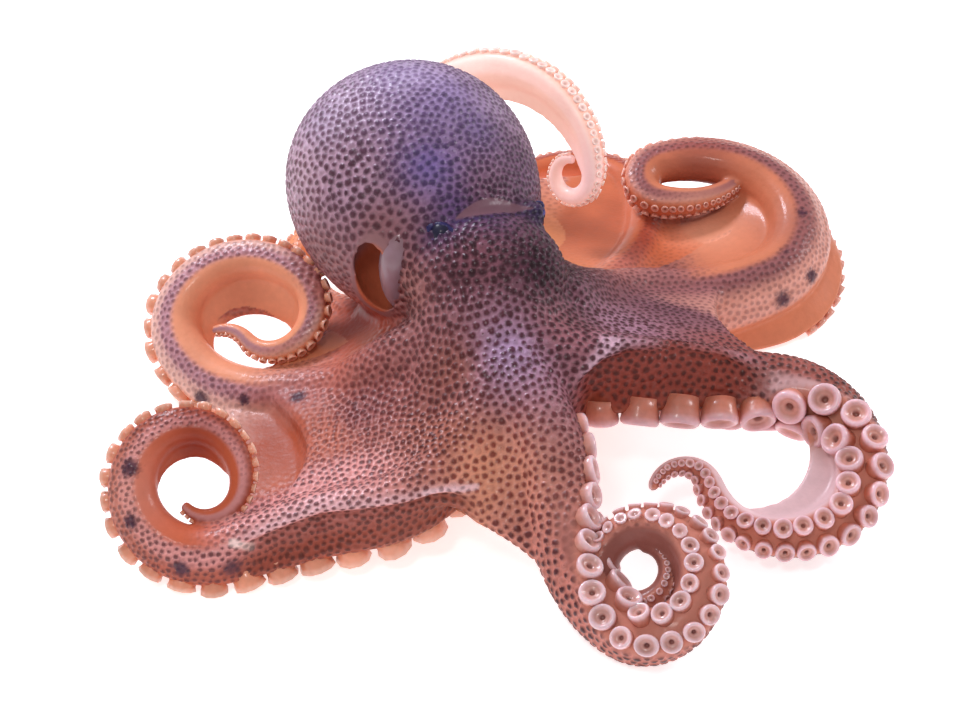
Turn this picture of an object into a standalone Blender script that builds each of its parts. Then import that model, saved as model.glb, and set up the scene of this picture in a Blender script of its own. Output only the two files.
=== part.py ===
"""Whole small octopus, resting on its arms: one solid body.

Rounded mantle tipped up and back over the rear arms, head with eye bumps, funnel stub and
mantle opening, a tent of web, and eight tapering arms that curl at their ends.
Units: metres, +Z up, the octopus faces -Y. Sizes below are given in millimetres.
"""
import math

import bmesh
import bpy
from mathutils import Matrix, Vector

for old in list(bpy.data.objects):
    bpy.data.objects.remove(old, do_unlink=True)

MM = 0.001

# ---------------------------------------------------------------- driving sizes (mm, degrees)
MANTLE_HALF = (33.0, 37.0, 30.5)      # half width, half length, half height of the mantle
MANTLE_AT = (-18.5, 42.0, 48.8)
MANTLE_YAW = 25.0                     # the mantle's length swings this far to the left of +Y
MANTLE_RISE = 24.0                    # and climbs this far at its far end
MANTLE_EGG = 0.10                     # narrower by this share toward the neck
HEAD_HALF = (21.0, 17.0, 16.5)
# the neck that widens from the head down to the roots of the arms: point, radius
NECK = (((-1.5, 9, 44), 18.0), ((0, 2, 33), 22.5), ((2, -5, 23), 27.0))
HEAD_AT = (-1.0, 11.5, 45.5)
CROWN_HALF = (27.0, 26.0, 15.0)
CROWN_AT = (2.0, -3.0, 24.0)
EYE_RADIUS = 5.5
EYES_AT = ((-13.0, 18.0, 51.0), (11.5, 25.0, 53.0))
FUNNEL_RADIUS = 3.6
FUNNEL_FROM = (-18.0, 24.0, 46.0)
FUNNEL_TO = (-25.0, 14.5, 35.0)
OPENING_HALF = (6.0, 7.0, 9.0)
OPENING_AT = (-28.0, 16.0, 41.0)
TIP_RADIUS = 1.4                      # arm radius at its very end
TAPER_POWER = 2.2                     # the arms stay thick for half their length, then thin out
STEP = 2.5                            # spacing of the stations along an arm
SUCKER_ROW_OUT = 0.72                 # where a sucker row runs, in arm radii below the middle
SUCKER_ROW_SIDE = 0.46                # and to each side of it
SUCKER_ROW_RADIUS = 0.42
WEB_THICK = 4.5
WEB_BACK = 0.45                       # a web is tied this many arm radii above the middle line
WEB_LIFT = 10.0                       # the webs rise this much toward the head
SHOULDER_TOP = 46.0                   # height on the head where the arm ridges start
SHOULDER_REACH = 30.0                 # how far along an arm its ridge ends
SHOULDER_RADIUS = 11.0
TRUNK_VOXEL = 1.4
TRUNK_PASSES = 14
VOXEL = 0.9
PASSES = 6
TARGET_TRIANGLES = 9300
FLOOR = 1.2                           # the lowest folds are flattened up to this height
CENTRE = (2.8, 18.9)                  # middle of the outline seen from above

# Each arm: base radius, stations from the crown outwards, then its curls.
# A curl is (turn in degrees, + to the left; turning radius at its start; at its end).
# lean: how far the curl's axle leans from upright, toward which compass heading.
# roll: (distance along the arm, heading of the sucker side: -90 under the arm, 0 on the
# outside of the curl, +90 on top).
ARMS = {
    "front_left": dict(
        radius=9.0,
        stations=((4, -14, 28), (-5, -33, 25), (-21, -46, 20), (-42, -48, 15), (-63, -52.5, 10.3)),
        curls=((-235, 19, 11), (-85, 15, 9)),
        lean=(43, -90),
        roll=((0, -90), (25, -70), (60, -15), (200, -10)),
    ),
    "left": dict(
        radius=8.0,
        stations=((-8, -2, 28), (-24, -1, 23), (-39, 2, 15.5), (-54, 5.5, 11.3)),
        curls=((-77, 42, 14), (-143, 12, 25), (-217, 12, 10)),
        lean=(36, -115),
        roll=((0, -90), (25, -70), (60, -20), (200, -10)),
    ),
    "rear_left": dict(
        radius=8.0,
        stations=((-8, 14, 24), (-26, 27, 17), (-42, 42, 10), (-50, 56, 7.5)),
        curls=((-150, 16, 10),),
        lean=(25, -90),
        roll=((0, -90), (40, -60), (100, -20)),
    ),
    "rear": dict(
        radius=8.0,
        stations=((0, 26, 22), (-12, 52, 13), (-28, 84, 10), (-30, 105, 22), (-15, 106, 38)),
        curls=((-128, 46, 24), (-290, 7, 4)),
        lean=(70, -130),
        roll=((0, -90), (60, -60), (110, -20), (200, 0)),
    ),
    "rear_right": dict(
        radius=8.5,
        stations=((10, 20, 26), (20, 32, 20), (31, 46, 13.3)),
        curls=((56, 70, 66), (96, 20, 16), (24, 60, 60)),
        lean=(-6, -90),
        roll=((0, -90), (30, -70), (80, -20), (200, -10)),
    ),
    "right": dict(
        radius=10.5,
        stations=((16, 10, 28), (26, 28, 22), (38, 40, 15.5), (54, 43.5, 13)),
        curls=((20, 62, 62), (169, 19, 31), (150, 8, 5.5), (50, 25, 21), (110, 9, 8)),
        lean=(14, -90),
        roll=((0, -90), (30, -70), (60, -40), (90, -20), (200, 0)),
    ),
    "front_right": dict(
        radius=9.5,
        stations=((14, -10, 30), (30, -10, 29), (50, -8, 25), (68, -6, 20.5)),
        curls=((-210, 22, 17), (-48, 12, 24), (155, 6, 9)),
        lean=(22, -95),
        roll=((0, -90), (30, -75), (65, -40), (95, 10), (115, 40), (200, 40)),
    ),
    "front": dict(
        radius=8.5,
        stations=((5, -16, 32), (14, -33.5, 28.5), (16, -48, 20.3)),
        curls=((70, 65, 2), (193, 12, 14.5), (360, 10, 5.5)),
        lean=(36, -120),
        roll=((0, -90), (20, -130), (50, -190), (70, -240), (90, -285), (120, -320), (200, -320)),
    ),
}

# Webs: the two arms, how far along each it is tied, how deep its free edge hangs back (0-1).
WEBS = (
    ("front", "front_left", 56.0, 46.0, 0.12),
    ("front_left", "left", 80.0, 56.0, 0.25),
    ("left", "rear_left", 46.0, 46.0, 0.30),
    ("rear_left", "rear", 40.0, 44.0, 0.30),
    ("rear", "rear_right", 50.0, 66.0, 0.20),
    ("rear_right", "right", 76.0, 64.0, 0.25),
    ("right", "front_right", 70.0, 60.0, 0.15),
    ("front_right", "front", 20.0, 22.0, 0.25),
)


# ---------------------------------------------------------------- collections and material
octopus_set = bpy.data.collections.new("octopus")
cutter_set = bpy.data.collections.new("cutters")
for one in (octopus_set, cutter_set):
    bpy.context.scene.collection.children.link(one)

skin = bpy.data.materials.new("skin")
skin.use_nodes = True
shader = skin.node_tree.nodes["Principled BSDF"]
shader.inputs["Base Color"].default_value = (0.27, 0.11, 0.10, 1.0)
shader.inputs["Roughness"].default_value = 0.38
shader.inputs["Metallic"].default_value = 0.0


# ---------------------------------------------------------------- arm routes
def lean_axis(degrees, toward):
    """Axle of a curl: upright, leaned by `degrees` toward a compass heading."""
    a = math.radians(degrees)
    b = math.radians(toward)
    return Vector((math.sin(a) * math.cos(b), math.sin(a) * math.sin(b), math.cos(a)))


def through(stations, count=10):
    """A smooth line through the stations."""
    knots = [Vector(s) for s in stations]
    knots = [2 * knots[0] - knots[1]] + knots + [2 * knots[-1] - knots[-2]]
    line = []
    for i in range(1, len(knots) - 2):
        a, b, c, d = knots[i - 1:i + 3]
        for k in range(count):
            t = k / count
            line.append(0.5 * (2 * b + (c - a) * t + (2 * a - 5 * b + 4 * c - d) * t * t
                               + (3 * b - a - 3 * c + d) * t ** 3))
    line.append(knots[-2])
    return line


def arm_line(arm):
    """Middle line of an arm: its stations, then its curls round the leaned axle."""
    line = through(arm["stations"])
    point = line[-1].copy()
    heading = (line[-1] - line[-2]).normalized()
    axle = lean_axis(*arm["lean"])
    heading = (heading - axle * heading.dot(axle)).normalized()
    for turn, start, end in arm["curls"]:
        steps = max(4, int(abs(turn) / 6))
        bite = math.radians(turn) / steps
        for k in range(steps):
            radius = start + (end - start) * (k + 0.5) / steps
            half = Matrix.Rotation(bite / 2, 3, axle)
            point = point + (half @ heading) * radius * abs(bite)
            heading = Matrix.Rotation(bite, 3, axle) @ heading
            line.append(point.copy())
    return line


def evenly(line, step):
    """The line again with evenly spaced points."""
    gone = [0.0]
    for a, b in zip(line, line[1:]):
        gone.append(gone[-1] + (b - a).length)
    count = max(2, round(gone[-1] / step))
    out = []
    j = 0
    for k in range(count + 1):
        want = gone[-1] * k / count
        while j < len(gone) - 2 and gone[j + 1] < want:
            j += 1
        t = (want - gone[j]) / max(1e-9, gone[j + 1] - gone[j])
        out.append(line[j].lerp(line[j + 1], t))
    return out, gone[-1] / count


def ramp(table, x):
    """Straight-line lookup in a short table of (x, value)."""
    for (x0, y0), (x1, y1) in zip(table, table[1:]):
        if x <= x1:
            return y0 + (y1 - y0) * (x - x0) / (x1 - x0)
    return table[-1][1]


class Arm:
    """Stations of one arm: middle point, radius, direction of the sucker side and across."""

    def __init__(self, spec):
        self.points, self.step = evenly(arm_line(spec), STEP)
        self.length = self.step * (len(self.points) - 1)
        side = 1.0 if spec["curls"][0][0] > 0 else -1.0
        axle = lean_axis(*spec["lean"])
        last = len(self.points) - 1
        self.radius = []
        self.oral = []
        self.across = []
        for i, p in enumerate(self.points):
            run = (self.points[min(i + 1, last)] - self.points[max(i - 1, 0)]).normalized()
            upright = (axle - run * axle.dot(run)).normalized()
            outside = run.cross(upright) * side
            roll = math.radians(ramp(spec["roll"], i * self.step))
            oral = outside * math.cos(roll) + upright * math.sin(roll)
            self.oral.append(oral)
            self.across.append(run.cross(oral))
            slim = 1.0 - (i / last) ** TAPER_POWER
            self.radius.append(TIP_RADIUS + (spec["radius"] - TIP_RADIUS) * slim)

    def at(self, distance):
        """Point of the middle line this far from the crown."""
        x = min(distance / self.step, len(self.points) - 1.001)
        i = int(x)
        return self.points[i].lerp(self.points[i + 1], x - i)


    def back(self, distance):
        """Point on the side away from the suckers, where a web is tied."""
        i = min(round(distance / self.step), len(self.points) - 1)
        return self.at(distance) - self.oral[i] * self.radius[i] * WEB_BACK


# ---------------------------------------------------------------- raw shapes


def tube(name, points, radii):
    """A round tapering tube along a line: a poly curve with a bevel."""
    curve = bpy.data.curves.new(name, "CURVE")
    curve.dimensions = "3D"
    curve.bevel_depth = MM
    curve.bevel_resolution = 3
    curve.use_fill_caps = True
    spline = curve.splines.new("POLY")
    spline.points.add(len(points) - 1)
    for slot, p, r in zip(spline.points, points, radii):
        slot.co = (p.x * MM, p.y * MM, p.z * MM, 1.0)
        slot.radius = r
    obj = bpy.data.objects.new(name, curve)
    octopus_set.objects.link(obj)
    bpy.ops.object.select_all(action="DESELECT")
    obj.select_set(True)
    bpy.context.view_layer.objects.active = obj
    bpy.ops.object.convert(target="MESH")
    return bpy.context.view_layer.objects.active


def ball(name, at, half, yaw=0.0, rise=0.0, egg=0.0):
    """An ellipsoid: half sizes, centre, swung about Z then tipped up along its length."""
    bpy.ops.mesh.primitive_uv_sphere_add(segments=48, ring_count=32, radius=MM)
    obj = bpy.context.active_object
    obj.name = name
    for v in obj.data.vertices:
        v.co.x *= 1.0 + egg * v.co.y / MM
        v.co.z *= 1.0 + egg * v.co.y / MM
    place = (Matrix.Translation(Vector(at) * MM)
             @ Matrix.Rotation(math.radians(yaw), 4, "Z")
             @ Matrix.Rotation(math.radians(rise), 4, "X")
             @ Matrix.Diagonal((*half, 1.0)))
    obj.data.transform(place)
    for group in list(obj.users_collection):
        group.objects.unlink(obj)
    octopus_set.objects.link(obj)
    return obj


def web(name, one, two, reach_one, reach_two, sag):
    """A web between two arms: a ruled sheet with a hollow free edge, given its thickness."""
    rows, columns = 14, 10
    mesh = bmesh.new()
    grid = []
    for j in range(columns + 1):
        t = j / columns
        hollow = 1.0 - sag * 4 * t * (1 - t)
        line = []
        for i in range(rows + 1):
            s = i / rows * hollow
            p = one.back(reach_one * s).lerp(two.back(reach_two * s), t)
            p.z += WEB_LIFT * max(0.0, 1 - s / 0.6) ** 2
            line.append(mesh.verts.new(p * MM))
        grid.append(line)
    for j in range(columns):
        for i in range(rows):
            mesh.faces.new((grid[j][i], grid[j + 1][i], grid[j + 1][i + 1], grid[j][i + 1]))
    data = bpy.data.meshes.new(name)
    mesh.to_mesh(data)
    mesh.free()
    obj = bpy.data.objects.new(name, data)
    octopus_set.objects.link(obj)
    thick = obj.modifiers.new("thickness", "SOLIDIFY")
    thick.thickness = WEB_THICK * MM
    thick.offset = 0.0
    apply_modifiers(obj)
    return obj


def apply_modifiers(obj):
    bpy.ops.object.select_all(action="DESELECT")
    obj.select_set(True)
    bpy.context.view_layer.objects.active = obj
    for modifier in list(obj.modifiers):
        bpy.ops.object.modifier_apply(modifier=modifier.name)


def join(parts, name):
    bpy.ops.object.select_all(action="DESELECT")
    for obj in parts:
        obj.select_set(True)
    bpy.context.view_layer.objects.active = parts[0]
    bpy.ops.object.join()
    obj = bpy.context.view_layer.objects.active
    obj.name = name
    obj.data.name = name
    return obj


def one_skin(obj, voxel, passes):
    """Melt overlapping shells into one closed skin and soften it."""
    remesh = obj.modifiers.new("one skin", "REMESH")
    remesh.mode = "VOXEL"
    remesh.voxel_size = voxel * MM
    soften = obj.modifiers.new("soften", "SMOOTH")
    soften.factor = 0.5
    soften.iterations = passes
    apply_modifiers(obj)


def cut(obj, cutter):
    """Take the cutter's volume out of the object."""
    octopus_set.objects.unlink(cutter)
    cutter_set.objects.link(cutter)
    cutter.hide_render = True
    cutter.display_type = "WIRE"
    bite = obj.modifiers.new("cut", "BOOLEAN")
    bite.operation = "DIFFERENCE"
    bite.solver = "EXACT"
    bite.object = cutter
    apply_modifiers(obj)


arms = {name: Arm(spec) for name, spec in ARMS.items()}

# ---------------------------------------------------------------- trunk: mantle, head, webs
trunk = [
    ball("mantle", MANTLE_AT, MANTLE_HALF, MANTLE_YAW, MANTLE_RISE, MANTLE_EGG),
    ball("head", HEAD_AT, HEAD_HALF),
    ball("crown", CROWN_AT, CROWN_HALF),
    tube("neck", [Vector(p) for p, r in NECK], [r for p, r in NECK]),
]
for centre in EYES_AT:
    trunk.append(ball("eye", centre, (EYE_RADIUS,) * 3))
for name, arm in arms.items():
    count = 12
    ridge = []
    radii = []
    for k in range(count + 1):
        t = k / count
        p = arm.at(SHOULDER_REACH * t)
        lift = max(0.0, SHOULDER_TOP - SHOULDER_RADIUS - p.z) * (1 - t) ** 2
        ridge.append(p + Vector((0, 0, lift)))
        radii.append(SHOULDER_RADIUS + (arm.radius[0] - SHOULDER_RADIUS) * t)
    trunk.append(tube(name + "_root", ridge, radii))
for first, second, reach_one, reach_two, sag in WEBS:
    trunk.append(web("web", arms[first], arms[second], reach_one, reach_two, sag))
trunk = join(trunk, "trunk")
one_skin(trunk, TRUNK_VOXEL, TRUNK_PASSES)
cut(trunk, ball("mantle_opening", OPENING_AT, OPENING_HALF))

# ---------------------------------------------------------------- one body
whole = [trunk, tube("funnel", [Vector(FUNNEL_FROM), Vector(FUNNEL_TO)], [FUNNEL_RADIUS] * 2)]
for name, arm in arms.items():
    whole.append(tube(name, arm.points, arm.radius))
    first = round(18.0 / arm.step)
    radii = [r * SUCKER_ROW_RADIUS for r in arm.radius]
    for side in (-1, 1):
        row = []
        for p, r, oral, across in zip(arm.points, arm.radius, arm.oral, arm.across):
            row.append(p + (oral * SUCKER_ROW_OUT + across * SUCKER_ROW_SIDE * side) * r)
        whole.append(tube(name + "_suckers", row[first:], radii[first:]))
body = join(whole, "octopus")
one_skin(body, VOXEL, PASSES)

# ---------------------------------------------------------------- lightened, set on its flats
faces = sum(len(p.vertices) - 2 for p in body.data.polygons)
lighten = body.modifiers.new("lighten", "DECIMATE")
lighten.ratio = TARGET_TRIANGLES / faces
apply_modifiers(body)

bpy.ops.mesh.primitive_cube_add(size=1.0)
table = bpy.context.active_object
table.name = "table"
table.data.transform(Matrix.Diagonal((0.5, 0.5, 0.1, 1.0)))
table.data.transform(Matrix.Translation((0.0, 0.0, FLOOR * MM - 0.05)))
for group in list(table.users_collection):
    group.objects.unlink(table)
octopus_set.objects.link(table)
cut(body, table)
body.data.transform(Matrix.Translation((-CENTRE[0] * MM, -CENTRE[1] * MM, -FLOOR * MM)))
body.data.materials.clear()
body.data.materials.append(skin)
for polygon in body.data.polygons:
    polygon.use_smooth = False
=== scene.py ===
"""Whole small octopus, raw and wet, resting on its curled arms.

Sizes are in millimetres, measured from a point on the table under the mouth: +X to the
octopus's left, +Y behind it, +Z up. Each finished piece is moved into the frame at the end.
"""
import math

import bmesh
import bpy
import numpy as np
from mathutils import Matrix, Vector
from mathutils.kdtree import KDTree


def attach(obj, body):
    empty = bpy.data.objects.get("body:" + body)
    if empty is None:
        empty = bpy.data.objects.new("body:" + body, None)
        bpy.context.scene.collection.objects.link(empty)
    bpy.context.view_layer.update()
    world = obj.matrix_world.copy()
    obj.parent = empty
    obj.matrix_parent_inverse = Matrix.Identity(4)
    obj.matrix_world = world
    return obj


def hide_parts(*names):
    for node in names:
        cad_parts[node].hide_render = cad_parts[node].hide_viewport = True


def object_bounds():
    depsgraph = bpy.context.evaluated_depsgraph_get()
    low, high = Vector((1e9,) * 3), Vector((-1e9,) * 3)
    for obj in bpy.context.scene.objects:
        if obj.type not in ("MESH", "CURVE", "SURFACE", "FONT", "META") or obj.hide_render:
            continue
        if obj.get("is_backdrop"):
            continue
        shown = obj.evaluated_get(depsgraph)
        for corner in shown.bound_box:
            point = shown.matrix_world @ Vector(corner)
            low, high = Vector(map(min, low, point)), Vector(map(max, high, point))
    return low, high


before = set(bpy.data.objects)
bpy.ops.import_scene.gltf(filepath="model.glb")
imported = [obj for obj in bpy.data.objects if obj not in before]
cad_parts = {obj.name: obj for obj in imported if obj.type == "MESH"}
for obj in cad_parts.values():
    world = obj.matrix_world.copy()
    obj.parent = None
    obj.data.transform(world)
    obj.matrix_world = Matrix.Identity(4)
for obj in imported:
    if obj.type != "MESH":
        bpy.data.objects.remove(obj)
cad_low, cad_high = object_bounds()

# ------------------------------------------------------------------ table, light and camera
# The octopus lies on a white table lit from all round, as for a catalogue, so there is next
# to no shadow. A broad cool lamp behind it on the left puts a lilac sheen on the wet skin.
MM = 0.001
TO_FRAME = Matrix.Scale(MM, 4) @ Matrix.Translation((-2.8, -18.9, -1.2))

scene = bpy.context.scene
scene.view_settings.view_transform = "Standard"


def aim(obj, place, target):
    """Put a lamp or camera at a place in millimetres, looking at a target."""
    obj.location = TO_FRAME @ Vector(place)
    look = TO_FRAME @ Vector(target) - obj.location
    obj.rotation_euler = look.to_track_quat("-Z", "Y").to_euler()
    scene.collection.objects.link(obj)
    return obj


VIEW_TARGET = (0.0, 0.0, 30.0)
VIEW_DISTANCE = 652.0
VIEW_RISE = math.radians(38.0)
camera = bpy.data.objects.new("camera", bpy.data.cameras.new("camera"))
camera.data.lens = 95.0
camera.data.clip_start = 0.05
camera.data.clip_end = 20.0
view_place = (
    0.0,
    -VIEW_DISTANCE * math.cos(VIEW_RISE),
    VIEW_TARGET[2] + VIEW_DISTANCE * math.sin(VIEW_RISE),
)
scene.camera = aim(camera, view_place, VIEW_TARGET)

LAMPS = (
    # name, place, width, watts, colour
    ("back lamp", (-330.0, 420.0, 520.0), 0.20, 3.8, (0.84, 0.87, 1.0)),
    ("front lamp", (-160.0, -420.0, 720.0), 0.14, 1.2, (1.0, 0.97, 0.95)),
    ("side lamp", (520.0, 160.0, 380.0), 0.20, 1.1, (0.96, 0.95, 1.0)),
)
for name, place, width, watts, colour in LAMPS:
    lamp = bpy.data.lights.new(name, "AREA")
    lamp.shape = "DISK"
    lamp.size = width
    lamp.energy = watts
    lamp.color = colour
    aim(bpy.data.objects.new(name, lamp), place, (0.0, 20.0, 20.0))

world = bpy.data.worlds.new("room")
scene.world = world
world.use_nodes = True
sky = world.node_tree.nodes["Background"]
sky.inputs["Color"].default_value = (0.97, 0.97, 1.0, 1.0)
sky.inputs["Strength"].default_value = 0.50

bpy.ops.object.select_all(action="DESELECT")
bpy.ops.mesh.primitive_circle_add(vertices=96, radius=6.0, fill_type="NGON")
table = bpy.context.active_object
table.name = "table"
white = bpy.data.materials.new("white table")
white.use_nodes = True
plain = white.node_tree.nodes["Principled BSDF"]
plain.inputs["Base Color"].default_value = (0.90, 0.89, 0.90, 1.0)
plain.inputs["Roughness"].default_value = 0.6
plain.inputs["Specular IOR Level"].default_value = 0.2
plain.inputs["Emission Color"].default_value = (1.0, 0.985, 0.99, 1.0)
plain.inputs["Emission Strength"].default_value = 0.65
table.data.materials.append(white)
table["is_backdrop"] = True

# ------------------------------------------------------------------ the eight arms: their lines
# Each arm leaves the crown through its stations, then runs in flat curls round a leaned
# axle. It stays thick for half its length and thins out to a whip.
# curls: (turn in degrees, + to the left; turning radius at its start; at its end)
# lean: how far the curl's axle leans from upright, and toward which heading
# roll: (distance along, heading of the sucker side: -90 under, 0 outside the curl, 90 on top)
# skin, ink: colours of the upper skin and of its spots
# inner, side: colours of the smooth face inside the curl and of the flank outside it
# under: colour of the flesh between the suckers, where it isn't that of inner
# glow: how much painted glow (emission) stands in for the light that comes through to the front from
# behind
# spot: spacing of the spots, share of it that a spot fills, how strong they are on the
# upper skin and on the flank
ARMS = {
    "front_left": dict(
        radius=9.0,
        stations=((4, -14, 28), (-5, -33, 25), (-21, -46, 20), (-42, -48, 15), (-63, -52.5, 10.3)),
        curls=((-235, 19, 11), (-70, 15, 10), (-130, 9, 6)),
        lean=(43, -90),
        roll=((0, -90), (25, -85), (60, -58), (110, -42), (200, -15)),
        skin=(204, 136, 132), ink=(88, 36, 40), inner=(196, 92, 58), side=(156, 76, 58),
        spot=(1.8, 0.30, 0.85, 0.75),
    ),
    "left": dict(
        radius=8.0,
        stations=((-8, -2, 28), (-24, -1, 23), (-39, 2, 15.5), (-54, 5.5, 11.3)),
        curls=((-77, 42, 14), (-143, 12, 25), (-190, 12, 9), (70, 9, 9)),
        lean=(36, -115),
        roll=((0, -90), (25, -75), (60, -35), (120, -28), (200, -10)),
        skin=(178, 128, 136), ink=(104, 54, 66), inner=(238, 156, 120), side=(222, 172, 158),
        spot=(2.0, 0.28, 0.7, 0.35),
    ),
    "rear_left": dict(
        radius=8.0,
        stations=((-8, 14, 24), (-26, 27, 17), (-42, 42, 10), (-50, 56, 7.5)),
        curls=((-150, 16, 10),),
        lean=(25, -90),
        roll=((0, -90), (40, -60), (100, -20)),
        skin=(220, 142, 108), ink=(140, 80, 70), inner=(226, 134, 86), side=(228, 142, 96),
        spot=(2.0, 0.26, 0.5, 0.3),
    ),
    # the rear arm: pale skin, lit further by a painted glow standing in for the light that shines
    # through it from behind
    "rear": dict(
        radius=8.0,
        stations=((0, 26, 22), (-12, 52, 11.5), (-28, 84, 10), (-30, 105, 22), (-15, 106, 38)),
        curls=((-134, 41, 20), (-290, 7, 4)),
        lean=(70, -130),
        roll=((0, -90), (60, -60), (110, -20), (200, 0)),
        skin=(236, 192, 180), ink=(200, 140, 130), inner=(236, 188, 170), side=(246, 212, 202),
        spot=(2.0, 0.24, 0.0, 0.0), painted_glow=0.42,
    ),
    "rear_right": dict(
        radius=8.5,
        stations=((10, 20, 26), (20, 32, 20), (31, 46, 13.3)),
        curls=((56, 70, 66), (96, 20, 16), (24, 60, 60)),
        lean=(-6, -90),
        roll=((0, -90), (30, -70), (80, -20), (200, -10)),
        skin=(166, 72, 52), ink=(96, 38, 36), inner=(206, 110, 72), side=(204, 104, 66),
        spot=(1.8, 0.26, 0.35, 0.15),
    ),
    "right": dict(
        radius=10.5,
        stations=((16, 10, 28), (26, 28, 22), (38, 40, 15.5), (54, 43.5, 13)),
        curls=((20, 62, 62), (169, 19, 31), (150, 8, 5.5), (50, 25, 21), (110, 9, 8)),
        lean=(14, -90),
        roll=((0, -90), (30, -80), (60, -65), (110, -50), (150, -20), (200, 0)),
        skin=(142, 86, 86), ink=(80, 36, 42), inner=(208, 122, 88), side=(208, 144, 128),
        spot=(1.9, 0.28, 0.55, 0.35),
    ),
    "front_right": dict(
        radius=9.5,
        stations=((14, -10, 30), (30, -10, 31), (50, -8, 29), (69, -6, 24.5)),
        curls=((-212, 24, 18), (-46, 12, 25), (155, 6, 9)),
        lean=(22, -95),
        roll=((0, -100), (25, -125), (52, -150), (70, -200), (88, -255), (110, -305), (200, -320)),
        skin=(140, 72, 64), ink=(64, 24, 28), inner=(222, 186, 188), side=(140, 72, 64),
        under=(204, 128, 108),
        spot=(2.1, 0.27, 1.0, 1.0),
    ),
    "front": dict(
        radius=8.5,
        stations=((5, -16, 32), (14, -33.5, 28.5), (16, -48, 20.3)),
        curls=((70, 65, 2), (193, 12, 14.5), (360, 10, 5.5)),
        lean=(36, -120),
        roll=((0, -90), (20, -130), (50, -190), (70, -240), (90, -285), (120, -320), (200, -320)),
        skin=(186, 116, 104), ink=(78, 34, 38), inner=(150, 88, 78), side=(186, 116, 104),
        under=(202, 130, 112),
        spot=(2.4, 0.29, 1.0, 1.0),
    ),
}
ARM_STEP = 2.0
TIP_RADIUS = 1.4
TAPER_POWER = 2.2


def lean_axis(degrees, toward):
    """Axle of a curl: upright, leaned by `degrees` toward a heading."""
    a = math.radians(degrees)
    b = math.radians(toward)
    return Vector((math.sin(a) * math.cos(b), math.sin(a) * math.sin(b), math.cos(a)))


def through(stations, count=10):
    """A smooth line through the stations."""
    knots = [Vector(s) for s in stations]
    knots = [2 * knots[0] - knots[1]] + knots + [2 * knots[-1] - knots[-2]]
    line = []
    for i in range(1, len(knots) - 2):
        a, b, c, d = knots[i - 1:i + 3]
        for k in range(count):
            t = k / count
            line.append(0.5 * (2 * b + (c - a) * t + (2 * a - 5 * b + 4 * c - d) * t * t
                               + (3 * b - a - 3 * c + d) * t ** 3))
    line.append(knots[-2])
    return line


def evenly(line, step):
    """The line again with evenly spaced points, and their spacing."""
    gone = [0.0]
    for a, b in zip(line, line[1:]):
        gone.append(gone[-1] + (b - a).length)
    count = max(2, round(gone[-1] / step))
    out = []
    j = 0
    for k in range(count + 1):
        want = gone[-1] * k / count
        while j < len(gone) - 2 and gone[j + 1] < want:
            j += 1
        t = (want - gone[j]) / max(1e-9, gone[j + 1] - gone[j])
        out.append(line[j].lerp(line[j + 1], t))
    return out, gone[-1] / count


def ramp(table_, x):
    """Straight-line lookup in a short table of (x, value)."""
    for (x0, y0), (x1, y1) in zip(table_, table_[1:]):
        if x <= x1:
            return y0 + (y1 - y0) * (x - x0) / (x1 - x0)
    return table_[-1][1]


class Arm:
    """Stations of one arm: middle, radius, sucker side, across, and outside of its curl."""

    def __init__(self, name, spec):
        self.name = name
        self.spec = spec
        line = through(spec["stations"])
        point = line[-1].copy()
        heading = (line[-1] - line[-2]).normalized()
        axle = lean_axis(*spec["lean"])
        heading = (heading - axle * heading.dot(axle)).normalized()
        for turn, start, end in spec["curls"]:
            steps = max(4, int(abs(turn) / 6))
            bite = math.radians(turn) / steps
            for k in range(steps):
                radius = start + (end - start) * (k + 0.5) / steps
                half = Matrix.Rotation(bite / 2, 3, axle)
                point = point + (half @ heading) * radius * abs(bite)
                heading = Matrix.Rotation(bite, 3, axle) @ heading
                line.append(point.copy())
        self.points, self.step = evenly(line, ARM_STEP)
        self.length = self.step * (len(self.points) - 1)
        side = 1.0 if spec["curls"][0][0] > 0 else -1.0
        last = len(self.points) - 1
        self.radius, self.oral, self.across, self.outside, self.curl = [], [], [], [], 0.0
        for a, b in zip(spec["stations"], spec["stations"][1:]):
            self.curl += (Vector(a) - Vector(b)).length
        for i, p in enumerate(self.points):
            run = (self.points[min(i + 1, last)] - self.points[max(i - 1, 0)]).normalized()
            upright = (axle - run * axle.dot(run)).normalized()
            outside = run.cross(upright) * side
            roll = math.radians(ramp(spec["roll"], i * self.step))
            oral = outside * math.cos(roll) + upright * math.sin(roll)
            self.oral.append(oral)
            self.across.append(run.cross(oral))
            self.outside.append(outside)
            slim = 1.0 - (i / last) ** TAPER_POWER
            self.radius.append(TIP_RADIUS + (spec["radius"] - TIP_RADIUS) * slim)

    def index(self, distance):
        return min(max(round(distance / self.step), 0), len(self.points) - 1)

    def at(self, distance):
        """Point of the middle line this far from the crown."""
        x = min(max(distance / self.step, 0.0), len(self.points) - 1.001)
        return self.points[int(x)].lerp(self.points[int(x) + 1], x - int(x))

    def beside(self, distance, back=0.0, inward=0.0, drop=0.0):
        """Point off the middle line: radii away from the suckers, mm into the curl, mm down."""
        i = self.index(distance)
        p = self.at(distance) - self.oral[i] * self.radius[i] * back
        return p - self.outside[i] * inward - Vector((0.0, 0.0, drop))


arms = {name: Arm(name, spec) for name, spec in ARMS.items()}

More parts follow.
